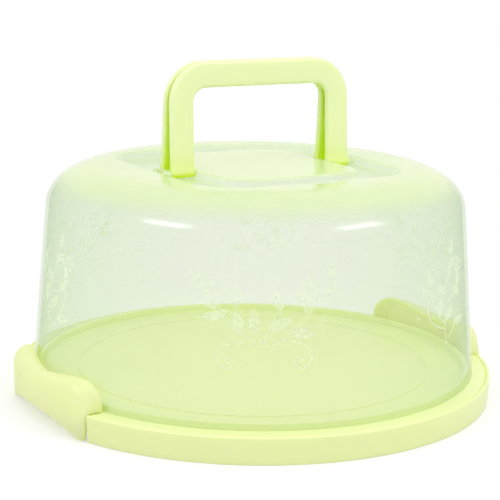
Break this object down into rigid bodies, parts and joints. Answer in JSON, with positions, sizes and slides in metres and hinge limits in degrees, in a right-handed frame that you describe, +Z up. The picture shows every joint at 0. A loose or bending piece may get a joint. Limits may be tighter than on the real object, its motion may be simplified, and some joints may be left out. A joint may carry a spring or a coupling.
{
  "type": "cake carrier",
  "caption": "Round cake carrier: shallow serving base, lift-off translucent dome lid with folding carry handles, and hinged side clips that hold the lid down.",
  "frame": {"origin": "middle of the base's underside, on the table", "axes": "+Z up through the dome and handles, +X through the right clip, -Y towards the front handle"},
  "size_m": [0.2826, 0.28, 0.1945],
  "materials": {
    "base": "semi-gloss, slightly translucent",
    "dome": "gloss, translucent, with a pale print",
    "handle": "semi-gloss, slightly translucent",
    "clip": "semi-gloss, slightly translucent",
    "pin": "semi-gloss"
  },
  "bodies": {
    "base": {"base_tray": "base", "left_clip_front_pin": "pin", "left_clip_rear_pin": "pin", "right_clip_front_pin": "pin", "right_clip_rear_pin": "pin"},
    "lid": {"lid_dome": "dome", "front_handle_left_pin": "pin", "front_handle_right_pin": "pin", "rear_handle_left_pin": "pin", "rear_handle_right_pin": "pin"},
    "handle_front": {"front_handle": "handle"},
    "handle_rear": {"rear_handle": "handle"},
    "clip_left": {"left_clip": "clip"},
    "clip_right": {"right_clip": "clip"}
  },
  "joints": [
    {"name": "lid_lift", "type": "slide", "parent": "base", "child": "lid", "axis": [0, 0, 1], "range_m": [0, 0.16]},
    {"name": "front_handle_fold", "type": "hinge", "parent": "lid", "child": "handle_front", "pos_m": [0, -0.0058, 0.1326], "axis": [1, 0, 0], "range_deg": [0, 93.2]},
    {"name": "rear_handle_fold", "type": "hinge", "parent": "lid", "child": "handle_rear", "pos_m": [0, 0.0058, 0.1326], "axis": [-1, 0, 0], "range_deg": [0, 93.2]},
    {"name": "left_clip_swing", "type": "hinge", "parent": "base", "child": "clip_left", "pos_m": [-0.1297, 0, 0.012], "axis": [0, -1, 0], "range_deg": [0, 90]},
    {"name": "right_clip_swing", "type": "hinge", "parent": "base", "child": "clip_right", "pos_m": [0.1297, 0, 0.012], "axis": [0, 1, 0], "range_deg": [0, 90]}
  ]
}
